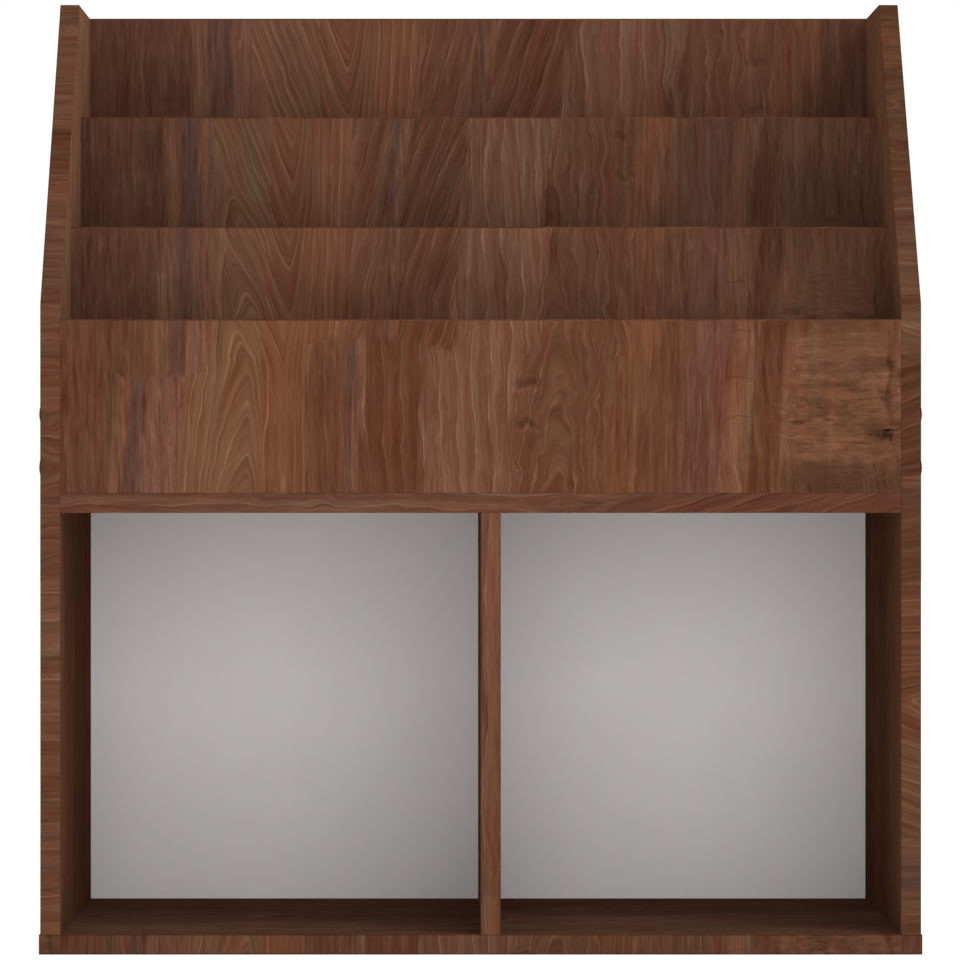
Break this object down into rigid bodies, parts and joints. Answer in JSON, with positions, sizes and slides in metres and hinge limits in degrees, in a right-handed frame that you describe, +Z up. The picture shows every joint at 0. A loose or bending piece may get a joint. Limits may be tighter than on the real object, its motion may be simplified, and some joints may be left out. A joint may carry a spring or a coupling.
{
  "type": "kids magazine rack",
  "caption": "Free-standing kids' rack of dark wood-effect board: open cubbies below, stepped magazine pockets above, sloped side panels.",
  "frame": {"origin": "on the floor, in the middle of the rack's width and depth", "axes": "+Z up, -Y towards the open front, +X to the right as seen from the front"},
  "size_m": [0.6626, 0.3, 0.73],
  "materials": {
    "brown_board": "dark oak-effect melamine, semi-matt",
    "brown_edge_band": "wood-effect edge band, semi-matt",
    "grey_hardboard": "pale grey painted hardboard, matt",
    "zinc_screw": "zinc plated",
    "brown_cap": "moulded brown plastic",
    "beech_dowel": "bare beech"
  },
  "bodies": {
    "root": {"left_side_panel": "brown_board", "right_side_panel": "brown_board", "bottom_panel": "brown_board", "middle_shelf": "brown_board", "cubby_divider": "brown_board", "front_rack_board": "brown_board", "second_rack_board": "brown_board", "third_rack_board": "brown_board", "upper_back_board": "brown_board", "second_pocket_floor": "brown_board", "third_pocket_floor": "brown_board", "cubby_back_panel": "grey_hardboard", "left_side_edge_band": "brown_edge_band", "right_side_edge_band": "brown_edge_band", "bottom_front_edge_band": "brown_edge_band", "bottom_left_edge_band": "brown_edge_band", "bottom_right_edge_band": "brown_edge_band", "middle_shelf_edge_band": "brown_edge_band", "cubby_divider_edge_band": "brown_edge_band", "front_rack_board_edge_band": "brown_edge_band", "second_rack_board_edge_band": "brown_edge_band", "third_rack_board_edge_band": "brown_edge_band", "upper_back_board_edge_band": "brown_edge_band", "left_side_screws": "zinc_screw", "right_side_screws": "zinc_screw", "base_screws": "zinc_screw", "left_screw_caps": "brown_cap", "right_screw_caps": "brown_cap", "left_side_dowels": "beech_dowel", "right_side_dowels": "beech_dowel", "side_foot_dowels": "beech_dowel", "divider_dowels": "beech_dowel", "rack_board_dowels": "beech_dowel"}
  },
  "joints": []
}
